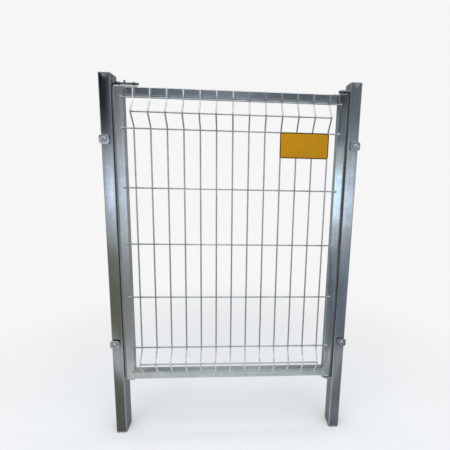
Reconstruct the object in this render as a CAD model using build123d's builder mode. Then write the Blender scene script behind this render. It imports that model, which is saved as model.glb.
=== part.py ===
from build123d import *
import math
import os

os.makedirs("parts", exist_ok=True)

# A single-leaf fence gate: a welded mesh leaf in a square-tube frame, hung between two posts.
# Millimetres. X runs to the right, Y away from the viewer, Z up from the feet of the posts.
# The origin lies midway between the posts, on the mid-plane of the leaf frame.

# Welded mesh: straight wires with one stiffening fold near the top and one near the bottom
wire_dia = 5.0
upright_count = 13
upright_pitch = 55.0
level_pitch = 200.0
level_fields = 4
fold_height = 100.0
fold_depth = 34.0
fold_wire_offset = 5.0
bend_radius = 8.0
barb_length = 30.0
stub_length = 8.0
level_overlap = 8.0
fold_wire_end = 4.0
weld_gap = 0.02

# Leaf frame of square tube, stiles running the full height
frame_size = 30.0
frame_wall = 2.0
frame_corner = 3.0
mesh_side_gap = 35.0
mesh_low_gap = 2.0
mesh_high_gap = 4.0
foot_plate_thick = 4.0
head_plate_thick = 3.0

# Posts of rectangular tube, narrow face to the front and flush with the leaf frame
post_width = 40.0
post_depth = 60.0
post_wall = 2.0
post_corner = 4.0
post_above_leaf = 38.0
leaf_rise = 232.0
swing_gap = 1.8
cap_thick = 4.0
cap_round = 1.5
cap_plug = 14.0
cap_wall = 2.0
cap_fit = 0.1

# Pivots at the top and bottom of the right-hand stile
pin_dia = 12.0
pin_reach = 25.0
pin_chamfer = 1.5
run_gap = 0.3
hinge_plate_thick = 6.0
spacer_dia = 20.0
spacer_thick = 5.7
washer_dia = 24.0
washer_thick = 4.0
pin_fit = 0.05

# Sliding bolt on the top of the leaf and its keeper on the left-hand post
bolt_dia = 8.0
bolt_rise = 11.5
bolt_tail = 11.5
bolt_travel = 13.0
bolt_tip = 1.5
bolt_nose = 1.5
latch_plate_thick = 3.0
latch_plate_length = 78.0
guide_width = 8.0
guide_strap = 1.8
guide_foot = 4.5
guide_corner = 0.6
guide_inset = 8.0
guide_end_inset = 11.0
knob_dia = 6.0
knob_rise = 11.0
knob_round = 1.2
knob_stop_gap = 0.5
keeper_wall = 2.0
keeper_gap = 2.0
keeper_clear = 2.0

# Panel clamps on the front faces of the posts
clamp_width = 34.0
clamp_height = 30.0
clamp_thick = 3.0
clamp_corner = 8.0
clamp_leg = 3.0
clamp_lip = 3.0
clamp_edge = 8.0
clamp_offset = 7.0
clamp_drop = 39.0
clamp_lift = 14.0
screw_dia = 8.0
screw_hole_gap = 0.4
screw_fit = 0.05
screw_head_dia = 16.0
screw_head_height = 4.5
screw_head_round = 2.5
screw_socket = 5.0
screw_socket_depth = 2.5
screw_reach = 13.0
nut_flange_dia = 14.0
nut_flange_thick = 1.0
nut_body_dia = 11.0
nut_depth = 15.0

# Bare information plate on the front of the mesh
plate_height = 88.0
plate_thick = 1.5
plate_corner = 5.0
plate_edge = 3.0
plate_fields = 3
plate_rise = 1.0
saddle_wall = 1.2
saddle_foot = 5.0
saddle_height = 14.0
saddle_inset = 20.0

# Derived sizes
wire_radius = wire_dia / 2
mesh_width = (upright_count - 1) * upright_pitch
mesh_height = level_fields * level_pitch + 2 * fold_height
leaf_width = mesh_width + 2 * (mesh_side_gap + frame_size)
leaf_height = mesh_height + mesh_low_gap + mesh_high_gap + 2 * frame_size
leaf_top = leaf_rise + leaf_height
half_leaf = leaf_width / 2
half_open = half_leaf - frame_size
half_frame = frame_size / 2
front_y = -half_frame
level_y = front_y - wire_radius - weld_gap
upright_y = level_y - wire_dia - weld_gap
mesh_low = leaf_rise + frame_size + mesh_low_gap
mesh_top = mesh_low + mesh_height
lower_wire = mesh_low + fold_height
upper_wire = mesh_top - fold_height
fold_reach = fold_height / 2 - fold_wire_offset
fold_slope = math.atan2(fold_depth, fold_reach)
apex_y = upright_y - fold_depth
fold_wire_y = apex_y + bend_radius * (1 / math.cos(fold_slope) - 1) + wire_dia + weld_gap
stile_x = half_leaf - half_frame
leaf_gap = half_frame * (math.sqrt(2) - 1) + swing_gap
post_side = half_leaf + leaf_gap
post_x = post_side + post_width / 2
post_y = front_y + post_depth / 2
post_height = leaf_top + post_above_leaf
post_bore_width = post_width - 2 * post_wall
post_bore_depth = post_depth - 2 * post_wall
post_bore_corner = post_corner - post_wall
plug_width = post_bore_width - 2 * cap_fit
plug_depth = post_bore_depth - 2 * cap_fit
front_plane = Plane.XZ.offset(half_frame)
pin_radius = pin_dia / 2
pivot_x = stile_x
head_plate_top = leaf_top + head_plate_thick
spacer_low = head_plate_top + run_gap
top_plate_low = spacer_low + spacer_thick
top_plate_high = top_plate_low + hinge_plate_thick
foot_plate_low = leaf_rise - foot_plate_thick
washer_high = foot_plate_low - run_gap
low_plate_high = washer_high - washer_thick
low_plate_low = low_plate_high - hinge_plate_thick
latch_plate_top = leaf_top + latch_plate_thick
bolt_z = leaf_top + bolt_rise
bolt_radius = bolt_dia / 2
guide_bore = bolt_radius + run_gap
guide_outer = guide_bore + guide_strap
left_guide_x = -half_leaf + guide_inset + guide_width / 2
right_guide_x = -half_leaf + latch_plate_length - guide_end_inset - guide_width / 2
bolt_end_x = left_guide_x - guide_width / 2 - bolt_tip
bolt_length = right_guide_x + guide_width / 2 + bolt_tail - bolt_end_x
knob_x = left_guide_x + guide_width / 2 + knob_dia / 2 + knob_stop_gap + bolt_travel
keeper_bore = bolt_radius + keeper_gap
keeper_end_x = bolt_end_x - keeper_clear
keeper_length = post_side + keeper_end_x
clamp_x = post_x + clamp_offset
upper_clamp_z = upper_wire - clamp_drop
lower_clamp_z = lower_wire + clamp_lift
clamp_back = wire_dia
clamp_front = clamp_back + clamp_thick
screw_radius = screw_dia / 2
nut_hole = nut_body_dia / 2 + screw_fit
plate_x1 = mesh_width / 2 + plate_edge
plate_x0 = mesh_width / 2 - plate_fields * upright_pitch - plate_edge
plate_width = plate_x1 - plate_x0
plate_mid_x = (plate_x0 + plate_x1) / 2
plate_top = upper_wire + plate_rise
plate_mid_z = plate_top - plate_height / 2
plate_back = -upright_y + wire_radius + weld_gap
saddle_slot = wire_dia + 2 * weld_gap
saddle_deep = wire_dia + 2 * weld_gap
saddle_xs = [mesh_width / 2 - k * upright_pitch for k in range(1, plate_fields)]
saddle_zs = [plate_mid_z - plate_height / 2 + saddle_inset, plate_top - saddle_inset]


def tube_section(width, depth, corner, wall):
    """Hollow rectangular section with rounded corners, drawn in the open sketch."""
    RectangleRounded(width, depth, corner)
    RectangleRounded(width - 2 * wall, depth - 2 * wall, corner - wall, mode=Mode.SUBTRACT)


def rivet_nut_spots(side):
    """The two screw places on the front face of one post."""
    return [(side * clamp_x, upper_clamp_z), (side * clamp_x, lower_clamp_z)]


# Left-hand post, which carries the keeper
with BuildPart() as left_post:
    with BuildSketch(Plane.XY):
        with Locations((-post_x, post_y)):
            tube_section(post_width, post_depth, post_corner, post_wall)
    extrude(amount=post_height)
    with BuildSketch(front_plane):
        with Locations(*rivet_nut_spots(-1)):
            Circle(nut_hole)
    extrude(amount=-2 * post_wall, mode=Mode.SUBTRACT)
left_post.part.label = "left_post"
export_step(left_post.part, "parts/left_post.step")

# Right-hand post, which carries the two hinge plates
with BuildPart() as right_post:
    with BuildSketch(Plane.XY):
        with Locations((post_x, post_y)):
            tube_section(post_width, post_depth, post_corner, post_wall)
    extrude(amount=post_height)
    with BuildSketch(front_plane):
        with Locations(*rivet_nut_spots(1)):
            Circle(nut_hole)
    extrude(amount=-2 * post_wall, mode=Mode.SUBTRACT)
right_post.part.label = "right_post"
export_step(right_post.part, "parts/right_post.step")

# Push-in caps closing the tops of the posts, each a lid with a hollow plug under it
with BuildPart() as left_post_cap:
    with BuildSketch(Plane.XY.offset(post_height)):
        with Locations((-post_x, post_y)):
            RectangleRounded(post_width, post_depth, post_corner)
    extrude(amount=cap_thick)
    fillet(left_post_cap.faces().sort_by(Axis.Z)[-1].edges(), cap_round)
    with BuildSketch(Plane.XY.offset(post_height)):
        with Locations((-post_x, post_y)):
            RectangleRounded(plug_width, plug_depth, post_bore_corner)
            Rectangle(plug_width - 2 * cap_wall, plug_depth - 2 * cap_wall, mode=Mode.SUBTRACT)
    extrude(amount=-cap_plug)
left_post_cap.part.label = "left_post_cap"
export_step(left_post_cap.part, "parts/left_post_cap.step")

with BuildPart() as right_post_cap:
    with BuildSketch(Plane.XY.offset(post_height)):
        with Locations((post_x, post_y)):
            RectangleRounded(post_width, post_depth, post_corner)
    extrude(amount=cap_thick)
    fillet(right_post_cap.faces().sort_by(Axis.Z)[-1].edges(), cap_round)
    with BuildSketch(Plane.XY.offset(post_height)):
        with Locations((post_x, post_y)):
            RectangleRounded(plug_width, plug_depth, post_bore_corner)
            Rectangle(plug_width - 2 * cap_wall, plug_depth - 2 * cap_wall, mode=Mode.SUBTRACT)
    extrude(amount=-cap_plug)
right_post_cap.part.label = "right_post_cap"
export_step(right_post_cap.part, "parts/right_post_cap.step")

# Stiles of the leaf, full height
with BuildPart() as left_stile:
    with BuildSketch(Plane.XY.offset(leaf_rise)):
        with Locations((-stile_x, 0)):
            tube_section(frame_size, frame_size, frame_corner, frame_wall)
    extrude(amount=leaf_height)
left_stile.part.label = "left_stile"
export_step(left_stile.part, "parts/left_stile.step")

with BuildPart() as right_stile:
    with BuildSketch(Plane.XY.offset(leaf_rise)):
        with Locations((stile_x, 0)):
            tube_section(frame_size, frame_size, frame_corner, frame_wall)
    extrude(amount=leaf_height)
right_stile.part.label = "right_stile"
export_step(right_stile.part, "parts/right_stile.step")

# Rails butted between the stiles
with BuildPart() as top_rail:
    with BuildSketch(Plane.YZ.offset(-half_open)):
        with Locations((0, leaf_top - half_frame)):
            tube_section(frame_size, frame_size, frame_corner, frame_wall)
    extrude(amount=2 * half_open)
top_rail.part.label = "top_rail"
export_step(top_rail.part, "parts/top_rail.step")

with BuildPart() as bottom_rail:
    with BuildSketch(Plane.YZ.offset(-half_open)):
        with Locations((0, leaf_rise + half_frame)):
            tube_section(frame_size, frame_size, frame_corner, frame_wall)
    extrude(amount=2 * half_open)
bottom_rail.part.label = "bottom_rail"
export_step(bottom_rail.part, "parts/bottom_rail.step")

# Plates closing the ends of the stiles; the right-hand pair turn on the pivot pins
with BuildPart() as left_stile_foot:
    with BuildSketch(Plane.XY.offset(foot_plate_low)):
        with Locations((-stile_x, 0)):
            RectangleRounded(frame_size, frame_size, frame_corner)
    extrude(amount=foot_plate_thick)
left_stile_foot.part.label = "left_stile_foot"
export_step(left_stile_foot.part, "parts/left_stile_foot.step")

with BuildPart() as right_stile_foot:
    with BuildSketch(Plane.XY.offset(foot_plate_low)):
        with Locations((stile_x, 0)):
            RectangleRounded(frame_size, frame_size, frame_corner)
            Circle(pin_radius + run_gap, mode=Mode.SUBTRACT)
    extrude(amount=foot_plate_thick)
right_stile_foot.part.label = "right_stile_foot"
export_step(right_stile_foot.part, "parts/right_stile_foot.step")

with BuildPart() as right_stile_head:
    with BuildSketch(Plane.XY.offset(leaf_top)):
        with Locations((stile_x, 0)):
            RectangleRounded(frame_size, frame_size, frame_corner)
            Circle(pin_radius + run_gap, mode=Mode.SUBTRACT)
    extrude(amount=head_plate_thick)
right_stile_head.part.label = "right_stile_head"
export_step(right_stile_head.part, "parts/right_stile_head.step")

# One upright wire with its two folds, then the full row of them
low_bend = mesh_low + fold_wire_offset
high_bend = upper_wire + fold_wire_offset
with BuildPart() as upright_wire:
    with BuildLine(Plane.YZ) as upright_path:
        FilletPolyline(
            (upright_y, mesh_low - stub_length),
            (upright_y, low_bend),
            (apex_y, low_bend + fold_reach),
            (upright_y, low_bend + 2 * fold_reach),
            (upright_y, high_bend),
            (apex_y, high_bend + fold_reach),
            (upright_y, high_bend + 2 * fold_reach),
            (upright_y, mesh_top + barb_length),
            radius=bend_radius,
        )
    with BuildSketch(Plane.XY.offset(mesh_low - stub_length)):
        with Locations((0, upright_y)):
            Circle(wire_radius)
    sweep(path=upright_path.wires()[0])

with BuildPart() as mesh_uprights:
    with GridLocations(upright_pitch, 0, upright_count, 1):
        add(upright_wire.part)
mesh_uprights.part.label = "mesh_uprights"
export_step(mesh_uprights.part, "parts/mesh_uprights.step")

# Level wires behind the uprights, their ends lying on the faces of the stiles
plain_levels = [lower_wire + k * level_pitch for k in range(level_fields + 1)]
level_spots = [(level_y, z) for z in [mesh_low] + plain_levels + [mesh_top]]
with BuildPart() as mesh_level_wires:
    with BuildSketch(Plane.YZ.offset(-half_open - level_overlap)):
        with Locations(*level_spots):
            Circle(wire_radius)
    extrude(amount=2 * (half_open + level_overlap))
mesh_level_wires.part.label = "mesh_level_wires"
export_step(mesh_level_wires.part, "parts/mesh_level_wires.step")

# The two shorter level wires inside the folds
fold_spots = [(fold_wire_y, mesh_low + fold_height / 2), (fold_wire_y, mesh_top - fold_height / 2)]
with BuildPart() as mesh_fold_wires:
    with BuildSketch(Plane.YZ.offset(-mesh_width / 2 - fold_wire_end)):
        with Locations(*fold_spots):
            Circle(wire_radius)
    extrude(amount=mesh_width + 2 * fold_wire_end)
mesh_fold_wires.part.label = "mesh_fold_wires"
export_step(mesh_fold_wires.part, "parts/mesh_fold_wires.step")

# Hinge plates welded to the right-hand post above and below the leaf
with BuildPart() as top_hinge_plate:
    with BuildSketch(Plane.XY.offset(top_plate_low)):
        with Locations((pivot_x, 0)):
            Circle(half_frame)
        with Locations(((pivot_x + post_side) / 2, 0)):
            Rectangle(post_side - pivot_x, frame_size)
        with Locations((pivot_x, 0)):
            Circle(pin_radius, mode=Mode.SUBTRACT)
    extrude(amount=hinge_plate_thick)
top_hinge_plate.part.label = "top_hinge_plate"
export_step(top_hinge_plate.part, "parts/top_hinge_plate.step")

with BuildPart() as bottom_hinge_plate:
    with BuildSketch(Plane.XY.offset(low_plate_low)):
        with Locations((pivot_x, 0)):
            Circle(half_frame)
        with Locations(((pivot_x + post_side) / 2, 0)):
            Rectangle(post_side - pivot_x, frame_size)
        with Locations((pivot_x, 0)):
            Circle(pin_radius, mode=Mode.SUBTRACT)
    extrude(amount=hinge_plate_thick)
bottom_hinge_plate.part.label = "bottom_hinge_plate"
export_step(bottom_hinge_plate.part, "parts/bottom_hinge_plate.step")

# Pivot pins set in the hinge plates and reaching into the stile
with BuildPart() as top_pivot_pin:
    with BuildSketch(Plane.XY.offset(top_plate_high)):
        with Locations((pivot_x, 0)):
            Circle(pin_radius)
    extrude(amount=leaf_top - pin_reach - top_plate_high)
    chamfer(top_pivot_pin.faces().sort_by(Axis.Z)[0].edges(), pin_chamfer)
top_pivot_pin.part.label = "top_pivot_pin"
export_step(top_pivot_pin.part, "parts/top_pivot_pin.step")

with BuildPart() as bottom_pivot_pin:
    with BuildSketch(Plane.XY.offset(low_plate_low)):
        with Locations((pivot_x, 0)):
            Circle(pin_radius)
    extrude(amount=leaf_rise + pin_reach - low_plate_low)
    chamfer(bottom_pivot_pin.faces().sort_by(Axis.Z)[-1].edges(), pin_chamfer)
bottom_pivot_pin.part.label = "bottom_pivot_pin"
export_step(bottom_pivot_pin.part, "parts/bottom_pivot_pin.step")

# Spacer under the top plate and thrust washer on the bottom plate
with BuildPart() as top_pivot_spacer:
    with BuildSketch(Plane.XY.offset(spacer_low)):
        with Locations((pivot_x, 0)):
            Circle(spacer_dia / 2)
            Circle(pin_radius + pin_fit, mode=Mode.SUBTRACT)
    extrude(amount=spacer_thick)
top_pivot_spacer.part.label = "top_pivot_spacer"
export_step(top_pivot_spacer.part, "parts/top_pivot_spacer.step")

with BuildPart() as bottom_pivot_washer:
    with BuildSketch(Plane.XY.offset(low_plate_high)):
        with Locations((pivot_x, 0)):
            Circle(washer_dia / 2)
            Circle(pin_radius + pin_fit, mode=Mode.SUBTRACT)
    extrude(amount=washer_thick)
bottom_pivot_washer.part.label = "bottom_pivot_washer"
export_step(bottom_pivot_washer.part, "parts/bottom_pivot_washer.step")

# Latch plate over the left-hand stile and the end of the top rail
with BuildPart() as latch_plate:
    with BuildSketch(Plane.XY.offset(leaf_top)):
        with Locations((-half_leaf + latch_plate_length / 2, 0)):
            RectangleRounded(latch_plate_length, frame_size, frame_corner)
    extrude(amount=latch_plate_thick)
latch_plate.part.label = "latch_plate"
export_step(latch_plate.part, "parts/latch_plate.step")


def guide_section():
    """Strap bent over the bolt with two flat feet, drawn in the open sketch."""
    strap_drop = bolt_z - latch_plate_top
    with Locations((0, bolt_z)):
        Circle(guide_outer)
    with Locations((0, bolt_z - strap_drop / 2)):
        Rectangle(2 * guide_outer, strap_drop)
    with Locations((0, latch_plate_top + guide_strap / 2)):
        Rectangle(2 * (guide_outer + guide_foot), guide_strap)
    with Locations((0, bolt_z)):
        Circle(guide_bore, mode=Mode.SUBTRACT)
    with Locations((0, bolt_z - strap_drop / 2)):
        Rectangle(2 * guide_bore, strap_drop, mode=Mode.SUBTRACT)


# Guide straps that carry the bolt
with BuildPart() as latch_guide_left:
    with BuildSketch(Plane.YZ.offset(left_guide_x - guide_width / 2)):
        guide_section()
    extrude(amount=guide_width)
    fillet(latch_guide_left.edges().filter_by(GeomType.CIRCLE).group_by(SortBy.RADIUS)[-1], guide_corner)
latch_guide_left.part.label = "latch_guide_left"
export_step(latch_guide_left.part, "parts/latch_guide_left.step")

with BuildPart() as latch_guide_right:
    with BuildSketch(Plane.YZ.offset(right_guide_x - guide_width / 2)):
        guide_section()
    extrude(amount=guide_width)
    fillet(latch_guide_right.edges().filter_by(GeomType.CIRCLE).group_by(SortBy.RADIUS)[-1], guide_corner)
latch_guide_right.part.label = "latch_guide_right"
export_step(latch_guide_right.part, "parts/latch_guide_right.step")

# Round bolt, shown drawn back, with a cross hole for the knob
with BuildPart() as latch_bolt:
    with BuildSketch(Plane.YZ.offset(bolt_end_x)):
        with Locations((0, bolt_z)):
            Circle(bolt_radius)
    extrude(amount=bolt_length)
    chamfer(latch_bolt.faces().sort_by(Axis.X)[0].edges(), bolt_nose)
    with BuildSketch(Plane.XY.offset(bolt_z)):
        with Locations((knob_x, 0)):
            Circle(knob_dia / 2)
    extrude(amount=bolt_dia, mode=Mode.SUBTRACT)
latch_bolt.part.label = "latch_bolt"
export_step(latch_bolt.part, "parts/latch_bolt.step")

with BuildPart() as latch_knob:
    with BuildSketch(Plane.XY.offset(bolt_z)):
        with Locations((knob_x, 0)):
            Circle(knob_dia / 2)
    extrude(amount=knob_rise)
    fillet(latch_knob.faces().sort_by(Axis.Z)[-1].edges(), knob_round)
latch_knob.part.label = "latch_knob"
export_step(latch_knob.part, "parts/latch_knob.step")

# Keeper tube welded to the side of the left-hand post
with BuildPart() as bolt_keeper:
    with BuildSketch(Plane.YZ.offset(-post_side)):
        with Locations((0, bolt_z)):
            Circle(keeper_bore + keeper_wall)
            Circle(keeper_bore, mode=Mode.SUBTRACT)
    extrude(amount=keeper_length)
bolt_keeper.part.label = "bolt_keeper"
export_step(bolt_keeper.part, "parts/bolt_keeper.step")


# Pressed clamp plate with an inner leg on the post and an outer lip for the wire, drawn about its screw
clamp_bent_height = clamp_height - 2 * clamp_edge
clamp_leg_x = clamp_width / 2 - clamp_leg / 2
with BuildPart() as clamp_blank:
    with BuildSketch(front_plane.offset(clamp_back)):
        RectangleRounded(clamp_width, clamp_height, clamp_corner)
        Circle(screw_radius + screw_hole_gap, mode=Mode.SUBTRACT)
    extrude(amount=clamp_thick)
    with BuildSketch(front_plane.offset(clamp_back)):
        with Locations((-clamp_leg_x, 0)):
            Rectangle(clamp_leg, clamp_bent_height)
    extrude(amount=-clamp_back)
    with BuildSketch(front_plane.offset(clamp_back)):
        with Locations((clamp_leg_x, 0)):
            Rectangle(clamp_leg, clamp_bent_height)
    extrude(amount=-clamp_lip)

# Four clamps that take the ends of the neighbouring fence panels; the left-hand pair are turned over
with BuildPart() as upper_left_clamp:
    with Locations(Location((-clamp_x, 0, upper_clamp_z), (0, 180, 0))):
        add(clamp_blank.part)
upper_left_clamp.part.label = "upper_left_clamp"
export_step(upper_left_clamp.part, "parts/upper_left_clamp.step")

with BuildPart() as lower_left_clamp:
    with Locations(Location((-clamp_x, 0, lower_clamp_z), (0, 180, 0))):
        add(clamp_blank.part)
lower_left_clamp.part.label = "lower_left_clamp"
export_step(lower_left_clamp.part, "parts/lower_left_clamp.step")

with BuildPart() as upper_right_clamp:
    with Locations((clamp_x, 0, upper_clamp_z)):
        add(clamp_blank.part)
upper_right_clamp.part.label = "upper_right_clamp"
export_step(upper_right_clamp.part, "parts/upper_right_clamp.step")

with BuildPart() as lower_right_clamp:
    with Locations((clamp_x, 0, lower_clamp_z)):
        add(clamp_blank.part)
lower_right_clamp.part.label = "lower_right_clamp"
export_step(lower_right_clamp.part, "parts/lower_right_clamp.step")

# Button-head screws through the clamps
clamp_spots = rivet_nut_spots(-1) + rivet_nut_spots(1)
with BuildPart() as clamp_screws:
    with BuildSketch(front_plane.offset(clamp_front)):
        with Locations(*clamp_spots):
            Circle(screw_head_dia / 2)
    extrude(amount=screw_head_height)
    head_rims = clamp_screws.faces().sort_by(Axis.Y)[0:len(clamp_spots)].edges()
    fillet(head_rims, screw_head_round)
    with BuildSketch(front_plane.offset(clamp_front)):
        with Locations(*clamp_spots):
            Circle(screw_radius - screw_fit)
    extrude(amount=-(clamp_front + screw_reach))
    with BuildSketch(front_plane.offset(clamp_front + screw_head_height)):
        with Locations(*clamp_spots):
            RegularPolygon(screw_socket / 2, 6, major_radius=False)
    extrude(amount=-screw_socket_depth, mode=Mode.SUBTRACT)
clamp_screws.part.label = "clamp_screws"
export_step(clamp_screws.part, "parts/clamp_screws.step")

# Rivet nuts set in the front walls of the posts
with BuildPart() as clamp_rivet_nuts:
    with BuildSketch(front_plane):
        with Locations(*clamp_spots):
            Circle(nut_flange_dia / 2)
    extrude(amount=nut_flange_thick)
    with BuildSketch(front_plane):
        with Locations(*clamp_spots):
            Circle(nut_body_dia / 2)
    extrude(amount=-nut_depth)
    with BuildSketch(front_plane.offset(nut_flange_thick)):
        with Locations(*clamp_spots):
            Circle(screw_radius)
    extrude(amount=-(nut_flange_thick + nut_depth), mode=Mode.SUBTRACT)
clamp_rivet_nuts.part.label = "clamp_rivet_nuts"
export_step(clamp_rivet_nuts.part, "parts/clamp_rivet_nuts.step")

# Bare information plate and the saddles that hold it on the wires
with BuildPart() as info_plate:
    with BuildSketch(Plane.XZ.offset(plate_back)):
        with Locations((plate_mid_x, plate_mid_z)):
            RectangleRounded(plate_width, plate_height, plate_corner)
    extrude(amount=plate_thick)
info_plate.part.label = "info_plate"
export_step(info_plate.part, "parts/info_plate.step")

with BuildPart() as info_plate_saddles:
    for saddle_z in saddle_zs:
        with BuildSketch(Plane.XY.offset(saddle_z - saddle_height / 2)):
            for saddle_x in saddle_xs:
                with Locations((saddle_x, -plate_back + (saddle_deep + saddle_wall) / 2)):
                    Rectangle(saddle_slot + 2 * saddle_wall, saddle_deep + saddle_wall)
                with Locations((saddle_x, -plate_back + saddle_wall / 2)):
                    Rectangle(saddle_slot + 2 * (saddle_wall + saddle_foot), saddle_wall)
                with Locations((saddle_x, -plate_back + saddle_deep / 2)):
                    Rectangle(saddle_slot, saddle_deep, mode=Mode.SUBTRACT)
        extrude(amount=saddle_height)
info_plate_saddles.part.label = "info_plate_saddles"
export_step(info_plate_saddles.part, "parts/info_plate_saddles.step")
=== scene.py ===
import math

import bmesh
import bpy
from mathutils import Matrix, Vector


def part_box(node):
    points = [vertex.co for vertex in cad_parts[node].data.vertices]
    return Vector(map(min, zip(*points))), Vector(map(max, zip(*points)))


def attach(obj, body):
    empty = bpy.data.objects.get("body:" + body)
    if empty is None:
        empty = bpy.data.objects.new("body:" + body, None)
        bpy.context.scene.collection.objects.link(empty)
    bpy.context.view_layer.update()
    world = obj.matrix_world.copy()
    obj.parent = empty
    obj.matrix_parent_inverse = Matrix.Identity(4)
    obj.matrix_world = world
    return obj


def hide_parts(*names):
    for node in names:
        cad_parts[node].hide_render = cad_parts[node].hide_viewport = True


# A welded mesh fence gate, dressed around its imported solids. Metres, in the frame of the solids:
# X to the right, Y away from the viewer, Z up from the feet of the posts.
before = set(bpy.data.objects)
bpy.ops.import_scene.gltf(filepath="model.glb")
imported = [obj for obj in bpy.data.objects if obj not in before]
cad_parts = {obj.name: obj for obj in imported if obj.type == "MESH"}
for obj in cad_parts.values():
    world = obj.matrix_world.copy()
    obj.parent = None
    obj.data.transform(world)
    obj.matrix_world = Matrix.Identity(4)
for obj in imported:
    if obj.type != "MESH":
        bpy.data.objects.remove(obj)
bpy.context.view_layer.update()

MM = 0.001
along_x, along_y, along_z = 0, 1, 2
# An edge or a face lies along an axis when its direction has at least this share of it
lined_up = 0.9

# Sizes of the real pieces
wire_radius = 2.5 * MM
wire_sides = 14
wire_chamfer = 0.4 * MM
bend_radius = 8.0 * MM
bend_steps = 7
fold_height = 100.0 * MM
fold_depth = 34.0 * MM
fold_offset = 5.0 * MM
stub_length = 8.0 * MM
barb_length = 30.0 * MM
level_pitch = 200.0 * MM
upright_pitch = 55.0 * MM
frame_corner = 3.0 * MM
post_corner = 4.0 * MM
tube_wall = 2.0 * MM
corner_steps = 6
plate_corner = 9.0 * MM

# Edges eased by wear, by tumbling or by the coat of zinc
clamp_edge = 1.1 * MM
hinge_plate_edge = 0.8 * MM
stile_foot_edge = 0.7 * MM
stile_head_edge = 0.6 * MM
latch_plate_edge = 0.6 * MM
keeper_edge = 0.5 * MM
info_plate_edge = 0.4 * MM
guide_edge = 0.35 * MM

# Places taken from the solids
level_low, level_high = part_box("mesh_level_wires")
upright_low, upright_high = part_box("mesh_uprights")
fold_low, fold_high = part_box("mesh_fold_wires")
stile_low, stile_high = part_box("right_stile")
post_low, post_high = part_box("right_post")
latch_low, latch_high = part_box("latch_plate")
level_y = (level_low.y + level_high.y) / 2
upright_y = level_y - 2 * wire_radius
fold_wire_y = (fold_low.y + fold_high.y) / 2
mesh_low = level_low.z + wire_radius
mesh_top = level_high.z - wire_radius
plain_low = mesh_low + fold_height
plain_height = mesh_top - mesh_low - 2 * fold_height
plain_count = round(plain_height / level_pitch) + 1
level_heights = [mesh_low, *[plain_low + k * level_pitch for k in range(plain_count)], mesh_top]
fold_heights = [mesh_low + fold_height / 2, mesh_top - fold_height / 2]
first_upright = upright_low.x + wire_radius
upright_count = round((upright_high.x - wire_radius - first_upright) / upright_pitch) + 1
upright_places = [first_upright + k * upright_pitch for k in range(upright_count)]
stile_inner = stile_low.x
half_tube = (stile_high.x - stile_low.x) / 2
leaf_front = stile_low.y
leaf_foot = stile_low.z
leaf_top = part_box("top_rail")[1].z
post_middle = (post_low.x + post_high.x) / 2
post_top = post_high.z


def linear(code):
    """Linear colour of an sRGB hex value."""
    parts = [int(code[k:k + 2], 16) / 255 for k in (0, 2, 4)]
    return [c / 12.92 if c <= 0.04045 else ((c + 0.055) / 1.055) ** 2.4 for c in parts] + [1.0]


def add_node(owner, kind, inputs=None, **settings):
    """Adds a shader node with its settings. An input is a value, or the socket that feeds it."""
    tree = owner.node_tree
    node = tree.nodes.new(kind)
    for name, value in settings.items():
        setattr(node, name, value)
    for name, value in (inputs or {}).items():
        if isinstance(value, bpy.types.NodeSocket):
            tree.links.new(value, node.inputs[name])
        else:
            node.inputs[name].default_value = value
    return node


def new_material(name):
    """A material whose nodes are still to be added."""
    material = bpy.data.materials.new(name)
    material.use_nodes = True
    material.node_tree.nodes.clear()
    return material


def close_material(material, shader):
    """Joins the finished shader to the material's output."""
    add_node(material, "ShaderNodeOutputMaterial", {"Surface": shader.outputs["BSDF"]})
    return material


# Zinc: the widths of its patterns, which are drawn as coarse as they need to be to show, and their weights
cloud_width, cloud_share = 130 * MM, 0.5
streak_width, streak_share = 5 * MM, 0.42
crystal_width, crystal_share = 9 * MM, 0.08
grit_width, grit_share = 1.4 * MM, 0.25
# Patches on the zinc. How far a rim wanders, where the patch is full and where it is gone
# are shares of the patch's reach
rim_width = 9 * MM
rim_wander, full_within, gone_past = 1.4, 0.9, 1.7
patch_cover, patch_roughness = 0.6, 0.5
# Painted shade in narrow places, and how open a place may be and still be fully shaded
painted_shade_colour, painted_shade_roughness = "202834", 0.85
painted_shade_samples = 8
painted_shade_full_open = 0.1
# Tints of the shine at a shallow angle: clean zinc keeps it, a weathered skin dulls it
clean_edge, weathered_edge = "FFFFFF", "B3B3B3"


def zinc_pattern(material, place, grain):
    """Soft clouds with streaks along the grain, and the same with faint crystals added."""
    along = add_node(material, "ShaderNodeMapping", {"Vector": place, "Scale": grain}).outputs["Vector"]
    streaks = add_node(material, "ShaderNodeTexNoise", {
        "Vector": along, "Scale": 1 / streak_width, "Detail": 3.0, "Roughness": 0.6}).outputs["Fac"]
    clouds = add_node(material, "ShaderNodeTexNoise", {
        "Vector": place, "Scale": 1 / cloud_width, "Detail": 5.0, "Roughness": 0.55}).outputs["Fac"]
    crystals = add_node(material, "ShaderNodeTexVoronoi", {
        "Vector": place, "Scale": 1 / crystal_width, "Randomness": 1.0}).outputs["Color"]
    crystal = add_node(material, "ShaderNodeSeparateColor", {"Color": crystals}).outputs["Red"]
    soft = add_node(material, "ShaderNodeMath", {
        0: clouds, 1: cloud_share}, operation="MULTIPLY").outputs[0]
    lines = add_node(material, "ShaderNodeMath", {
        0: streaks, 1: streak_share, 2: soft}, operation="MULTIPLY_ADD").outputs[0]
    blend = add_node(material, "ShaderNodeMath", {
        0: crystal, 1: crystal_share, 2: lines}, operation="MULTIPLY_ADD").outputs[0]
    return lines, blend


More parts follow.
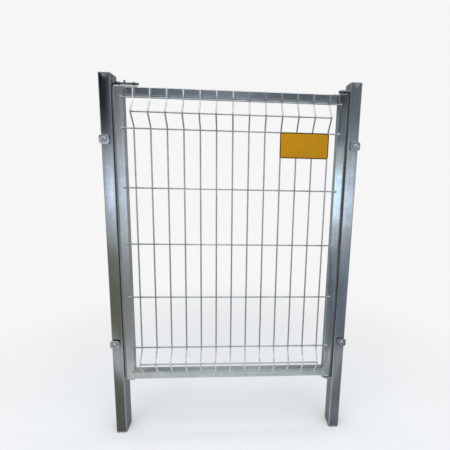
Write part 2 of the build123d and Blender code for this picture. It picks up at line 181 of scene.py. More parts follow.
def add_patches(material, place, colour, rough, patches):
    """Patches with ragged rims: stains, zinc paint and painted highlights. Each is its middle, its reach
    and its colour.
    """
    wobble = add_node(material, "ShaderNodeTexNoise", {
        "Vector": place, "Scale": 1 / rim_width, "Detail": 4.0}).outputs["Fac"]
    for middle, reach, tint in patches:
        away = add_node(material, "ShaderNodeVectorMath", {
            0: place, 1: middle}, operation="DISTANCE").outputs["Value"]
        ragged = add_node(material, "ShaderNodeMath", {
            0: wobble, 1: rim_wander * reach, 2: away}, operation="MULTIPLY_ADD").outputs[0]
        mask = add_node(material, "ShaderNodeMapRange", {
            "Value": ragged, "From Min": gone_past * reach, "From Max": full_within * reach,
            "To Min": 0.0, "To Max": patch_cover}).outputs["Result"]
        colour = add_node(material, "ShaderNodeMix", {
            "Factor": mask, "A": colour, "B": linear(tint)}, data_type="RGBA").outputs["Result"]
        rough = add_node(material, "ShaderNodeMix", {
            "Factor": mask, "A": rough, "B": patch_roughness}, data_type="FLOAT").outputs["Result"]
    return colour, rough


def add_painted_shade(material, colour, rough, painted_shade):
    """Painted shade, dark and matt, where pieces stand close together; it also hides the metal under it.

    painted_shade is how near something must stand, how dark the painted shade gets and how open a place
    must be to stay unshaded.
    """
    reach, depth, unshaded_open = painted_shade
    openness = add_node(material, "ShaderNodeAmbientOcclusion", {
        "Distance": reach}, samples=painted_shade_samples).outputs["AO"]
    shade_share = add_node(material, "ShaderNodeMapRange", {
        "Value": openness, "From Min": painted_shade_full_open, "From Max": unshaded_open,
        "To Min": depth, "To Max": 0.0}).outputs["Result"]
    colour = add_node(material, "ShaderNodeMix", {
        "Factor": shade_share, "A": colour, "B": linear(painted_shade_colour)}, data_type="RGBA").outputs["Result"]
    rough = add_node(material, "ShaderNodeMix", {
        "Factor": shade_share, "A": rough, "B": painted_shade_roughness}, data_type="FLOAT").outputs["Result"]
    metal = add_node(material, "ShaderNodeMath", {0: 1.0, 1: shade_share}, operation="SUBTRACT").outputs[0]
    return colour, rough, metal


def galvanised_steel(name, grain, dark, light, rough_low, rough_high,
                     painted_shade=None, patches=(), edge=clean_edge):
    """Zinc over rolled steel: soft clouds, faint crystals, streaks along the grain, an uneven satin shine.

    grain stretches the streaks along one axis. edge tints the shine at a shallow angle.
    """
    material = new_material(name)
    place = add_node(material, "ShaderNodeTexCoord").outputs["Object"]
    lines, blend = zinc_pattern(material, place, grain)
    tone = add_node(material, "ShaderNodeMapRange", {
        "Value": blend, "From Min": 0.30, "From Max": 0.68}).outputs["Result"]
    colour = add_node(material, "ShaderNodeMix", {
        "Factor": tone, "A": linear(dark), "B": linear(light)}, data_type="RGBA").outputs["Result"]
    rough = add_node(material, "ShaderNodeMapRange", {
        "Value": blend, "From Min": 0.35, "From Max": 0.75,
        "To Min": rough_high, "To Max": rough_low}).outputs["Result"]
    metal = 1.0
    if patches:
        colour, rough = add_patches(material, place, colour, rough, patches)
    if painted_shade:
        colour, rough, metal = add_painted_shade(material, colour, rough, painted_shade)
    grit = add_node(material, "ShaderNodeTexNoise", {
        "Vector": place, "Scale": 1 / grit_width, "Detail": 2.0}).outputs["Fac"]
    ripple = add_node(material, "ShaderNodeMath", {
        0: grit, 1: grit_share, 2: lines}, operation="MULTIPLY_ADD").outputs[0]
    bump = add_node(material, "ShaderNodeBump", {
        "Height": ripple, "Strength": 0.22, "Distance": 0.25 * MM}).outputs["Normal"]
    shader = add_node(material, "ShaderNodeBsdfPrincipled", {
        "Base Color": colour, "Metallic": metal, "Roughness": rough,
        "Specular Tint": linear(edge), "Normal": bump})
    return close_material(material, shader)


def weld_metal(name, dark, light):
    """Weld beads under a thin coat of cold zinc paint: chalky and uneven."""
    blotch_width, bead_grit_width = 6 * MM, 0.9 * MM
    material = new_material(name)
    place = add_node(material, "ShaderNodeTexCoord").outputs["Object"]
    blotches = add_node(material, "ShaderNodeTexNoise", {
        "Vector": place, "Scale": 1 / blotch_width, "Detail": 4.0}).outputs["Fac"]
    colour = add_node(material, "ShaderNodeMix", {
        "Factor": blotches, "A": linear(dark), "B": linear(light)}, data_type="RGBA").outputs["Result"]
    rough = add_node(material, "ShaderNodeMapRange", {
        "Value": blotches, "To Min": 0.62, "To Max": 0.4}).outputs["Result"]
    grit = add_node(material, "ShaderNodeTexNoise", {
        "Vector": place, "Scale": 1 / bead_grit_width, "Detail": 2.0}).outputs["Fac"]
    bump = add_node(material, "ShaderNodeBump", {
        "Height": grit, "Strength": 0.4, "Distance": 0.3 * MM}).outputs["Normal"]
    shader = add_node(material, "ShaderNodeBsdfPrincipled", {
        "Base Color": colour, "Metallic": 0.75, "Roughness": rough, "Normal": bump})
    return close_material(material, shader)


def polyethylene(name, dark, light):
    """Moulded grey polyethylene: a fine matt skin, a little dusty, that catches a broad, weak shine."""
    skin_width, dust_width = 1.0 * MM, 18 * MM
    material = new_material(name)
    place = add_node(material, "ShaderNodeTexCoord").outputs["Object"]
    skin = add_node(material, "ShaderNodeTexNoise", {
        "Vector": place, "Scale": 1 / skin_width, "Detail": 3.0}).outputs["Fac"]
    dust = add_node(material, "ShaderNodeTexNoise", {
        "Vector": place, "Scale": 1 / dust_width, "Detail": 4.0}).outputs["Fac"]
    colour = add_node(material, "ShaderNodeMix", {
        "Factor": dust, "A": linear(dark), "B": linear(light)}, data_type="RGBA").outputs["Result"]
    rough = add_node(material, "ShaderNodeMapRange", {
        "Value": dust, "To Min": 0.42, "To Max": 0.62}).outputs["Result"]
    bump = add_node(material, "ShaderNodeBump", {
        "Height": skin, "Strength": 0.15, "Distance": 0.1 * MM}).outputs["Normal"]
    shader = add_node(material, "ShaderNodeBsdfPrincipled", {
        "Base Color": colour, "Roughness": rough, "Normal": bump})
    return close_material(material, shader)


def enamelled_sheet(name, node, dark, light, line_colour):
    """Enamel on sheet with a dark line along its rim, a low gloss and a little dust."""
    line_inset, line_width = 0.4 * MM, 3.2 * MM
    line_middle = plate_corner - line_inset - line_width / 2
    dust_width, peel_width = 25 * MM, 2.5 * MM
    low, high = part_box(node)
    centre = (low + high) / 2
    flat = (high - low) / 2 - Vector((plate_corner, 0, plate_corner))
    material = new_material(name)
    place = add_node(material, "ShaderNodeTexCoord").outputs["Object"]
    # How far a place lies past the flat middle, round the corners too
    local = add_node(material, "ShaderNodeVectorMath", {
        0: place, 1: centre}, operation="SUBTRACT").outputs["Vector"]
    size = add_node(material, "ShaderNodeVectorMath", {0: local}, operation="ABSOLUTE").outputs["Vector"]
    front = add_node(material, "ShaderNodeVectorMath", {
        0: size, 1: (1, 0, 1)}, operation="MULTIPLY").outputs["Vector"]
    past = add_node(material, "ShaderNodeVectorMath", {
        0: front, 1: flat}, operation="SUBTRACT").outputs["Vector"]
    outside = add_node(material, "ShaderNodeVectorMath", {
        0: past, 1: (0, 0, 0)}, operation="MAXIMUM").outputs["Vector"]
    reach = add_node(material, "ShaderNodeVectorMath", {0: outside}, operation="LENGTH").outputs["Value"]
    line = add_node(material, "ShaderNodeMath", {
        0: reach, 1: line_middle, 2: line_width / 2}, operation="COMPARE").outputs[0]
    dust = add_node(material, "ShaderNodeTexNoise", {
        "Vector": place, "Scale": 1 / dust_width, "Detail": 5.0}).outputs["Fac"]
    enamel = add_node(material, "ShaderNodeMix", {
        "Factor": dust, "A": linear(dark), "B": linear(light)}, data_type="RGBA").outputs["Result"]
    colour = add_node(material, "ShaderNodeMix", {
        "Factor": line, "A": enamel, "B": linear(line_colour)}, data_type="RGBA").outputs["Result"]
    rough = add_node(material, "ShaderNodeMapRange", {
        "Value": dust, "To Min": 0.36, "To Max": 0.6}).outputs["Result"]
    peel = add_node(material, "ShaderNodeTexNoise", {
        "Vector": place, "Scale": 1 / peel_width, "Detail": 1.0}).outputs["Fac"]
    bump = add_node(material, "ShaderNodeBump", {
        "Height": peel, "Strength": 0.08, "Distance": 0.2 * MM}).outputs["Normal"]
    shader = add_node(material, "ShaderNodeBsdfPrincipled", {
        "Base Color": colour, "Roughness": rough, "Specular IOR Level": 0.15, "Normal": bump})
    return close_material(material, shader)


# The frame's welds are stained at the top and painted over with pale zinc at the foot
weld_stain, top_right_dark, zinc_paint, fresh_zinc_paint = "4C524E", "22262A", "B4B7B5", "E2E6E4"
weld_reach = 24 * MM
corner_patches = [
    ((side * stile_inner, leaf_front, leaf_top - half_tube), weld_reach, weld_stain) for side in (-1, 1)]
corner_patches.append(((stile_inner, leaf_front, leaf_foot + half_tube), weld_reach, zinc_paint))
# The paint is freshest at the left-hand foot, where it runs out over the stile
paint_out, paint_up, paint_reach = 12 * MM, 20 * MM, 70 * MM
corner_patches.append(
    ((-stile_inner - paint_out, leaf_front, leaf_foot + paint_up), paint_reach, fresh_zinc_paint))
# Darkest at the top right corner, under the hinge plate: one broad patch under a smaller one
dark_down = 12 * MM
for dark_reach in (60 * MM, 40 * MM):
    corner_patches.append(
        ((stile_inner + half_tube, leaf_front, leaf_top - dark_down), dark_reach, top_right_dark))

# The heads of the posts are rubbed pale under their caps
rubbed_zinc, head_reach = "BEC3BE", 15 * MM
head_patches = [((side * post_middle, leaf_front, post_top), head_reach, rubbed_zinc) for side in (-1, 1)]

# Painted highlights on the left-hand barbs in front of the top rail, strongest on the first ones
painted_highlight = "FFFFFF"
highlighted_barbs, barb_reach, barb_step = 7, 46 * MM, 4 * MM
wire_highlights = [
    ((x, upright_y, leaf_top - half_tube), barb_reach - k * barb_step, painted_highlight)
    for k, x in enumerate(upright_places[:highlighted_barbs])]
# Painted highlights on the lower folds and the stubs in front of the bottom rail too
lower_fold_up, lower_fold_reach = 35 * MM, 80 * MM
wire_highlights += [
    ((x, upright_y, mesh_low + lower_fold_up), lower_fold_reach, painted_highlight) for x in upright_places]

# Scales of the streaks along each axis: a small one draws them out
upright_grain, level_grain = (1, 1, 0.02), (0.02, 1, 1)
even_grain, wire_grain = (1, 1, 1), (0.2, 0.2, 0.2)
# Painted shade where pieces stand close: in the gaps at the tubes, in the plated fittings' screw sockets
# and on the top rail along its wires
light_painted_shade = (12 * MM, 0.05, 0.8)
gap_painted_shade = (25 * MM, 0.4, 0.8)
deep_painted_shade = (25 * MM, 0.75, 0.8)
plate_painted_shade = (5 * MM, 0.75, 0.8)
wire_painted_shade = (8 * MM, 0.9, 0.95)
# Dark and light tone, least and most roughness of the finishes that two pieces share
tube_tones = ("868A8D", "B2B6B8", 0.17, 0.26)
wire_tones = ("84898C", "AFB4B6", 0.30, 0.44)

# Posts: the left-hand one smoother and painted darker as shade, the right-hand one with painted shade where
# the leaf comes near
left_post_steel = galvanised_steel(
    "galvanised_smooth_post_tube_painted_dark", upright_grain, "808487", "A8ACAE", 0.14, 0.21,
    light_painted_shade, head_patches, weathered_edge)
right_post_steel = galvanised_steel(
    "galvanised_post_tube", upright_grain, *tube_tones,
    gap_painted_shade, head_patches, weathered_edge)
# Leaf frame: each tube painted a little lighter or darker for the light it catches; a duller stile at the
# left, a shiny one at the right with deep painted shade, a rail at the foot painted pale
left_stile_steel = galvanised_steel(
    "galvanised_dull_tube_painted_light", upright_grain, "969A9D", "BEC2C4", 0.26, 0.36,
    light_painted_shade, corner_patches, weathered_edge)
right_stile_steel = galvanised_steel(
    "galvanised_bright_tube_painted_light", upright_grain, "888F91", "B8C0C2", 0.09, 0.15,
    deep_painted_shade, corner_patches, weathered_edge)
top_rail_steel = galvanised_steel(
    "galvanised_level_tube", level_grain, *tube_tones,
    wire_painted_shade, corner_patches, weathered_edge)
bottom_rail_steel = galvanised_steel(
    "galvanised_tube_painted_pale", level_grain, "9CA1A3", "C6CACA", 0.2, 0.3,
    light_painted_shade, corner_patches, weathered_edge)
# Small steel pieces: dull grey plates, plates painted with pale zinc, and plated fittings
plate_steel = galvanised_steel("galvanised_plate", even_grain, "5E646A", "8A9096", 0.32, 0.5)
pale_plate_steel = galvanised_steel("zinc_painted_plate", even_grain, "8E9496", "C0C4C4", 0.34, 0.5)
bright_zinc = galvanised_steel(
    "zinc_plated_steel", even_grain, "9A9FA2", "C4C8C9", 0.24, 0.40, plate_painted_shade)
# The right-hand clamps are a darker zinc than the left-hand ones
grey_zinc = galvanised_steel(
    "darker_zinc_plate", even_grain, "7A7E80", "A6AAAB", 0.28, 0.44, plate_painted_shade)
# Latch, guides, keeper and pivots: a very dark grey for dull plated steel; on the keeper, which sits in
# shade, the dark is partly painted shade
latch_steel = galvanised_steel("dull_plated_steel_with_painted_shade", even_grain, "383B3C", "606466", 0.30, 0.46)
# Wires: drawn and dipped, an even satin grey
wire_zinc = galvanised_steel("galvanised_wire", wire_grain, *wire_tones)
# The uprights carry the painted highlights
highlighted_upright_zinc = galvanised_steel("galvanised_upright_wire_painted_highlights", wire_grain, *wire_tones, patches=wire_highlights)
pale_weld = weld_metal("zinc_painted_weld", "A4A8A8", "D8DADA")
stained_weld = weld_metal("stained_weld", "4A504E", "9A9F9E")
cap_plastic = polyethylene("grey_polyethylene", "5A5E5C", "7C807C")
yellow_enamel = enamelled_sheet("yellow_enamelled_sheet", "info_plate", "B57F00", "C38A00", "2A2414")


def start_clean():
    """Leaves every object unselected, so that the next operator meets only its own piece."""
    if bpy.context.object and bpy.context.object.mode != "OBJECT":
        bpy.ops.object.mode_set(mode="OBJECT")
    bpy.ops.object.select_all(action="DESELECT")


def choose(piece, kind, test):
    """In edit mode, selects the faces or edges that pass the test and nothing else."""
    bpy.ops.mesh.select_mode(type={"faces": "FACE", "edges": "EDGE"}[kind])
    bpy.ops.mesh.select_all(action="DESELECT")
    mesh = bmesh.from_edit_mesh(piece.data)
    for item in getattr(mesh, kind):
        if test(item):
            item.select_set(True)
    mesh.select_flush_mode()
    bmesh.update_edit_mesh(piece.data)


def settle(piece, name, body, material, smooth_below=35):
    """Puts the piece's place into its mesh, smooths it, and gives it its finish and its body."""
    start_clean()
    piece.name = name
    piece.data.name = name
    piece.select_set(True)
    bpy.context.view_layer.objects.active = piece
    bpy.ops.object.transform_apply(location=True, rotation=True, scale=True)
    bpy.ops.object.shade_smooth_by_angle(angle=math.radians(smooth_below))
    piece.data.materials.clear()
    piece.data.materials.append(material)
    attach(piece, body)


def join_pieces(pieces):
    """Joins several objects into the first of them."""
    start_clean()
    for piece in pieces:
        piece.select_set(True)
    bpy.context.view_layer.objects.active = pieces[0]
    bpy.ops.object.join()
    return pieces[0]


def repeat(piece, count, step):
    """Copies the piece in a row, as one mesh."""
    start_clean()
    piece.select_set(True)
    bpy.context.view_layer.objects.active = piece
    row = piece.modifiers.new("row", "ARRAY")
    row.count = count
    row.use_relative_offset = False
    row.use_constant_offset = True
    row.constant_offset_displace = step
    bpy.ops.object.modifier_apply(modifier=row.name)
    return piece


def rounded_block(node, axis, corner):
    """A block that fills the node's box, its edges along the axis rounded, left in edit mode."""
    low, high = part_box(node)
    start_clean()
    bpy.ops.mesh.primitive_cube_add(size=1, location=(low + high) / 2, scale=high - low)
    block = bpy.context.object
    bpy.ops.object.transform_apply(location=True, scale=True)
    bpy.ops.object.mode_set(mode="EDIT")
    choose(block, "edges", lambda e: abs((e.verts[0].co - e.verts[1].co).normalized()[axis]) > lined_up)
    bpy.ops.mesh.bevel(offset=corner, segments=corner_steps, affect="EDGES")
    choose(block, "faces", lambda f: abs(f.normal[axis]) > lined_up)
    return block


def rolled_tube(name, node, axis, corner, body, material):
    """Square or rectangular tube with rolled corners, open at both ends."""
    tube = rounded_block(node, axis, corner)
    bpy.ops.mesh.inset(thickness=tube_wall, depth=0)
    bpy.ops.mesh.bridge_edge_loops()
    bpy.ops.mesh.select_all(action="SELECT")
    bpy.ops.mesh.normals_make_consistent(inside=False)
    bpy.ops.object.mode_set(mode="OBJECT")
    settle(tube, name, body, material)
    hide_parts(node)


rolled_tube("left_post_tube", "left_post", along_z, post_corner, "posts", left_post_steel)
rolled_tube("right_post_tube", "right_post", along_z, post_corner, "posts", right_post_steel)
rolled_tube("left_stile_tube", "left_stile", along_z, frame_corner, "leaf", left_stile_steel)
rolled_tube("right_stile_tube", "right_stile", along_z, frame_corner, "leaf", right_stile_steel)
rolled_tube("top_rail_tube", "top_rail", along_x, frame_corner, "leaf", top_rail_steel)
rolled_tube("bottom_rail_tube", "bottom_rail", along_x, frame_corner, "leaf", bottom_rail_steel)


class WireBender:
    """Draws one wire as a bender does: straight runs by extruding, bends by spinning about the former."""

    def __init__(self, x, y, z):
        start_clean()
        bpy.ops.mesh.primitive_circle_add(
            vertices=wire_sides, radius=wire_radius, fill_type="NGON", location=(x, y, z))
        self.wire = bpy.context.object
        bpy.ops.object.transform_apply(location=True)
        bpy.ops.object.mode_set(mode="EDIT")
        bpy.ops.mesh.select_mode(type="FACE")
        bpy.ops.mesh.select_all(action="SELECT")
        self.tip = Vector((x, y, z))
        self.lean = 0.0

    def run(self, length):
        """Goes straight on from the tip."""
        step = Vector((0, -math.sin(self.lean), math.cos(self.lean))) * length
        bpy.ops.mesh.extrude_region_move(TRANSFORM_OT_translate={"value": step})
        self.tip = self.tip + step

    def bend(self, turn):
        """Bends the wire at its tip: forwards, or back where the turn is negative."""
        hand = math.copysign(1, turn)
        former = self.tip - hand * bend_radius * Vector((0, math.cos(self.lean), math.sin(self.lean)))
        bpy.ops.mesh.spin(steps=bend_steps, angle=-turn, center=former, axis=(1, 0, 0))
        self.tip = former + Matrix.Rotation(turn, 3, "X") @ (self.tip - former)
        self.lean += turn

    def cut(self):
        """Closes the wire's ends and takes off their sharp edges."""
        bpy.ops.mesh.select_all(action="SELECT")
        bpy.ops.mesh.remove_doubles(threshold=0.01 * MM)
        bpy.ops.mesh.fill_holes(sides=0)
        bpy.ops.mesh.normals_make_consistent(inside=False)
        choose(self.wire, "faces", lambda f: len(f.verts) == wire_sides)
        bpy.ops.mesh.inset(thickness=wire_chamfer, depth=0)
        bpy.ops.object.mode_set(mode="OBJECT")
        return self.wire


def bent_upright(x):
    """One upright from its stub at the foot, through both folds, to the tip of its barb."""
    reach = fold_height / 2 - fold_offset
    slope = math.atan2(fold_depth, reach)
    near = bend_radius * math.tan(slope / 2)
    apex = bend_radius * math.tan(slope)
    leg = math.hypot(fold_depth, reach) - near - apex
    bender = WireBender(x, upright_y, mesh_low - stub_length)
    bender.run(stub_length + fold_offset - near)
    # What follows each fold, from bend to bend, and how many of its ends are bent
    for after, bent_ends in ((plain_height + 2 * fold_offset, 2), (fold_offset + barb_length, 1)):
        bender.bend(slope)
        bender.run(leg)
        bender.bend(-2 * slope)
        bender.run(leg)
        bender.bend(slope)
        bender.run(after - bent_ends * near)
    return bender.cut()


def straight_wire(x0, x1, y, z):
    """One level wire."""
    start_clean()
    bpy.ops.mesh.primitive_cylinder_add(
        vertices=wire_sides, radius=wire_radius, depth=x1 - x0, location=((x0 + x1) / 2, y, z),
        rotation=(0, math.pi / 2, 0))
    wire = bpy.context.object
    bpy.ops.object.transform_apply(location=True, rotation=True)
    bpy.ops.object.mode_set(mode="EDIT")
    choose(wire, "faces", lambda f: abs(f.normal.x) > lined_up)
    bpy.ops.mesh.bevel(offset=wire_chamfer, segments=2, affect="EDGES")
    bpy.ops.object.mode_set(mode="OBJECT")
    return wire


uprights = repeat(bent_upright(first_upright), upright_count, (upright_pitch, 0, 0))
settle(uprights, "upright_wires", "leaf", highlighted_upright_zinc, smooth_below=50)
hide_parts("mesh_uprights")

level_wires = join_pieces([straight_wire(level_low.x, level_high.x, level_y, z) for z in level_heights])
settle(level_wires, "level_wires", "leaf", wire_zinc, smooth_below=50)
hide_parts("mesh_level_wires")

fold_wires = join_pieces([straight_wire(fold_low.x, fold_high.x, fold_wire_y, z) for z in fold_heights])
settle(fold_wires, "fold_wires", "leaf", wire_zinc, smooth_below=50)
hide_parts("mesh_fold_wires")


def eased_plate(node, edge, body, material):
    """The node's own form with its sharp edges eased, as a worn or tumbled plate has them."""
    start_clean()
    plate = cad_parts[node].copy()
    plate.data = plate.data.copy()
    bpy.context.collection.objects.link(plate)
    plate.select_set(True)
    bpy.context.view_layer.objects.active = plate
    bpy.ops.object.mode_set(mode="EDIT")
    bpy.ops.mesh.select_all(action="SELECT")
    bpy.ops.mesh.remove_doubles(threshold=0.005 * MM)
    bpy.ops.mesh.dissolve_limited(angle_limit=math.radians(1))
    bpy.ops.object.mode_set(mode="OBJECT")
    easing = plate.modifiers.new("easing", "BEVEL")
    easing.width = edge
    easing.segments = 3
    easing.limit_method = "ANGLE"
    easing.angle_limit = math.radians(50)
    bpy.ops.object.modifier_apply(modifier=easing.name)
    settle(plate, node + "_eased", body, material, smooth_below=40)
    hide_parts(node)


for side, clamp_zinc in (("left", bright_zinc), ("right", grey_zinc)):
    for level in ("upper", "lower"):
        eased_plate(f"{level}_{side}_clamp", clamp_edge, "posts", clamp_zinc)
    eased_plate(f"latch_guide_{side}", guide_edge, "leaf", latch_steel)
    eased_plate(f"{side}_stile_foot", stile_foot_edge, "leaf", pale_plate_steel)
eased_plate("right_stile_head", stile_head_edge, "leaf", plate_steel)
eased_plate("top_hinge_plate", hinge_plate_edge, "posts", plate_steel)
eased_plate("bottom_hinge_plate", hinge_plate_edge, "posts", pale_plate_steel)
eased_plate("latch_plate", latch_plate_edge, "leaf", pale_plate_steel)
eased_plate("bolt_keeper", keeper_edge, "posts", latch_steel)


def cut_sheet(node, corner, edge, body, material):
    """A thin sheet cut with round corners, its edges eased."""
    sheet = rounded_block(node, along_y, corner)
    bpy.ops.mesh.bevel(offset=edge, segments=2, affect="EDGES")
    bpy.ops.object.mode_set(mode="OBJECT")
    settle(sheet, node + "_eased", body, material, smooth_below=40)
    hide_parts(node)


cut_sheet("info_plate", plate_corner, info_plate_edge, "leaf", yellow_enamel)

# Finishes of the pieces that keep their solids
finishes = {
    latch_steel: [
        "latch_bolt", "latch_knob",
        "top_pivot_pin", "bottom_pivot_pin", "top_pivot_spacer", "bottom_pivot_washer"],
    bright_zinc: ["clamp_screws", "clamp_rivet_nuts", "info_plate_saddles"],
    cap_plastic: ["left_post_cap", "right_post_cap"],
}
for material, nodes in finishes.items():
    for node in nodes:
        for material_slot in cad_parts[node].material_slots:
            material_slot.material = material


# Welds: every run is a row of overlapping ripples, laid along its seam
ripple_pitch = 2.2 * MM
bead_sides = 10
bead_tip, bead_valley = 0.45, 0.74
# Half width and half height of each kind of run
front_seam = (2.6 * MM, 0.9 * MM)
back_seam = (3.2 * MM, 1.8 * MM)
inner_fillet = (2.4 * MM, 2.2 * MM)
outer_fillet = (2.0 * MM, 1.8 * MM)
plate_seam = (1.6 * MM, 0.8 * MM)
hinge_fillet = (2.4 * MM, 2.0 * MM)
wire_fillet = (2.0 * MM, 1.9 * MM)
wire_spot = (3.1 * MM, 3.1 * MM)
keeper_tack = (1.7 * MM, 1.4 * MM)
guide_tack = (1.3 * MM, 1.2 * MM)


def bead_blank(ripples):
    """One weld run of unit size along Z, swelling at each ripple and rounded off at both ends."""
    start_clean()
    bpy.ops.mesh.primitive_circle_add(vertices=bead_sides, radius=bead_tip, fill_type="NGON")
    bead = bpy.context.object
    bpy.ops.object.mode_set(mode="EDIT")
    bpy.ops.mesh.select_mode(type="FACE")
    bpy.ops.mesh.select_all(action="SELECT")
    rings = 2 * ripples
    size = bead_tip
    for ring in range(1, rings + 1):
        target = bead_tip if ring == rings else (1.0 if ring % 2 else bead_valley)
        swell = target / size
        size = target
        bpy.ops.mesh.extrude_region_move(TRANSFORM_OT_translate={"value": (0, 0, 1 / rings)})
        bpy.ops.transform.resize(value=(swell, swell, 1), center_override=(0, 0, ring / rings))
    bpy.ops.mesh.select_all(action="SELECT")
    bpy.ops.mesh.normals_make_consistent(inside=False)
    bpy.ops.object.mode_set(mode="OBJECT")
    return bead


def weld(name, runs, body, material):
    """Lays weld runs. Each is its start, its end, the side it faces, its half width and its half height."""
    blanks = {}
    beads = []
    for start, end, out, half_width, half_height in runs:
        along = Vector(end) - Vector(start)
        ripples = max(1, round(along.length / ripple_pitch))
        if ripples not in blanks:
            blanks[ripples] = bead_blank(ripples)
        out = Vector(out).normalized()
        across = out.cross(along).normalized()
        bead = blanks[ripples].copy()
        bead.data = blanks[ripples].data.copy()
        bpy.context.collection.objects.link(bead)
        turn = Matrix((across * half_width, out * half_height, along)).transposed()
        bead.matrix_world = Matrix.Translation(start) @ turn.to_4x4()
        beads.append(bead)
    for blank in blanks.values():
        bpy.data.objects.remove(blank)
    settle(join_pieces(beads), name, body, material, smooth_below=60)


def corner_runs(rail):
    """The seams at both ends of a rail: flat in front, fuller behind, filleted inside and outside."""
    trim = 3 * MM
    low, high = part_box(rail)
    inside, outside = (low.z, high.z) if rail == "top_rail" else (high.z, low.z)
    inner_way = math.copysign(1, inside - outside)
    runs = []
    for x in (low.x, high.x):
        along_rail = -math.copysign(1, x)
        for y, out, size in ((low.y, -1, front_seam), (high.y, 1, back_seam)):
            runs.append(((x, y, low.z + trim), (x, y, high.z - trim), (0, out, 0), *size))
        fillets = [(inside, inner_way, inner_fillet)]
        # The latch plate covers the seam under it, which has no fillet
        if rail == "bottom_rail" or latch_high.x < x:
            fillets.append((outside, -inner_way, outer_fillet))
        for z, way, size in fillets:
            runs.append(((x, low.y + trim, z), (x, high.y - trim, z), (along_rail, 0, way), *size))
    return runs


def edge_runs(node, seam_z, spans):
    """Short runs along the front and back edges of a plate that closes or sits on a tube."""
    low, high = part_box(node)
    return [((x0, y, seam_z), (x1, y, seam_z), (0, math.copysign(1, y), 0), *plate_seam)
            for y in (low.y, high.y) for x0, x1 in spans]


def end_plate_runs(node, seam_z):
    """Runs along an end plate of a stile, short of its corners."""
    trim = 7 * MM
    low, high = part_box(node)
    return edge_runs(node, seam_z, [(low.x + trim, high.x - trim)])


def latch_plate_runs():
    """Two short runs along each edge of the latch plate, near its ends."""
    length, left_trim, right_trim = 14 * MM, 4 * MM, 6 * MM
    left = latch_low.x + left_trim
    right = latch_high.x - right_trim
    return edge_runs("latch_plate", leaf_top, [(left, left + length), (right - length, right)])


def wire_end_runs():
    """Small fillets above, below and round the tip of each end of a level wire, on the stile's face."""
    stand_off, inner_trim, tip_gap = 0.7 * MM, 0.5 * MM, 0.6 * MM
    y = leaf_front - stand_off
    edge = 0.85 * wire_radius
    runs = []
    for side in (-1, 1):
        start = side * (stile_inner + inner_trim)
        tip = side * (level_high.x + tip_gap)
        for z in level_heights:
            for up in (-1, 1):
                seam_z = z + up * edge
                runs.append(((start, y, seam_z), (tip, y, seam_z), (0, -1, up), *wire_fillet))
            runs.append(((tip, y, z - edge), (tip, y, z + edge), (side, -1, 0), *wire_fillet))
    return runs


def crossing_runs():
    """The flat spot where each upright was welded to a level wire, and to the wires in the folds."""
    half_depth = 1.5 * MM
    level_spot = (level_y + upright_y) / 2
    fold_spot = fold_wire_y - wire_radius
    spots = [(z, level_spot) for z in level_heights] + [(z, fold_spot) for z in fold_heights]
    return [((x, y - half_depth, z), (x, y + half_depth, z), (0, 0, 1), *wire_spot)
            for x in upright_places for z, y in spots]


def hinge_plate_runs():
    """Fillets above and below each hinge plate, where it meets the post."""
    front_trim, back_trim = 6 * MM, 2 * MM
    runs = []
    for node in ("top_hinge_plate", "bottom_hinge_plate"):
        low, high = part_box(node)
        x, front, back = high.x, low.y + front_trim, high.y - back_trim
        for z, up in ((high.z, 1), (low.z, -1)):
            runs.append(((x, front, z), (x, back, z), (-1, 0, up), *hinge_fillet))
    return runs


def keeper_runs():
    """Three tacks around the foot of the keeper."""
    half_length = 3.5 * MM
    tack_angles_deg = (80, 200, 340)
    low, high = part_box("bolt_keeper")
    foot = Vector((low.x, (low.y + high.y) / 2, (low.z + high.z) / 2))
    radius = (high.z - low.z) / 2
    runs = []
    for angle in (math.radians(a) for a in tack_angles_deg):
        out = Vector((0, math.cos(angle), math.sin(angle)))
        half_tack = Vector((0, -out.z, out.y)) * half_length
        spot = foot + out * radius
        runs.append((spot - half_tack, spot + half_tack, out + Vector((1, 0, 0)), *keeper_tack))
    return runs


def guide_runs():
    """Tacks at the feet of the two guides."""
    trim = 1 * MM
    runs = []
    for node in ("latch_guide_left", "latch_guide_right"):
        low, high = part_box(node)
        for y in (low.y, high.y):
            start, end = (low.x + trim, y, low.z), (high.x - trim, y, low.z)
            runs.append((start, end, (0, math.copysign(1, y), 1), *guide_tack))
    return runs


head_runs = end_plate_runs("right_stile_head", leaf_top)
foot_runs = end_plate_runs("left_stile_foot", leaf_foot) + end_plate_runs("right_stile_foot", leaf_foot)
weld("top_corner_welds", corner_runs("top_rail") + head_runs, "leaf", stained_weld)
weld("bottom_corner_welds", corner_runs("bottom_rail") + foot_runs, "leaf", pale_weld)
weld("wire_end_welds", wire_end_runs(), "leaf", pale_weld)
weld("mesh_spot_welds", crossing_runs(), "leaf", wire_zinc)
weld("latch_plate_welds", latch_plate_runs() + guide_runs(), "leaf", pale_weld)
weld("hinge_plate_welds", hinge_plate_runs(), "posts", stained_weld)
weld("keeper_welds", keeper_runs(), "posts", stained_weld)


# Stage: a pale floor in a white room, and grey cards that only the steel mirrors
room_white, room_light, paper_white = "F6F6F6", "B4B8BC", "F8F8F7"
floor_radius = 14.0
# The floor shows its shadow within the first distance from the origin, and is plain white past the second
shadow_full, shadow_gone = 0.6, 1.7
# Cards on the floor lie just above it, the gap card under the others
card_lift, gap_card_lift = 0.004, 0.003
upright_turn, flat_turn = (math.pi / 2, 0, 0), (0, 0, 0)


def seen_rays(owner):
    """1 for rays that show the room itself: to the camera, in a mirror or through glass."""
    rays = add_node(owner, "ShaderNodeLightPath").outputs
    mirror = add_node(owner, "ShaderNodeMath", {
        0: rays["Is Camera Ray"], 1: rays["Is Glossy Ray"]}, operation="MAXIMUM").outputs[0]
    return add_node(owner, "ShaderNodeMath", {
        0: mirror, 1: rays["Is Transmission Ray"]}, operation="MAXIMUM").outputs[0]


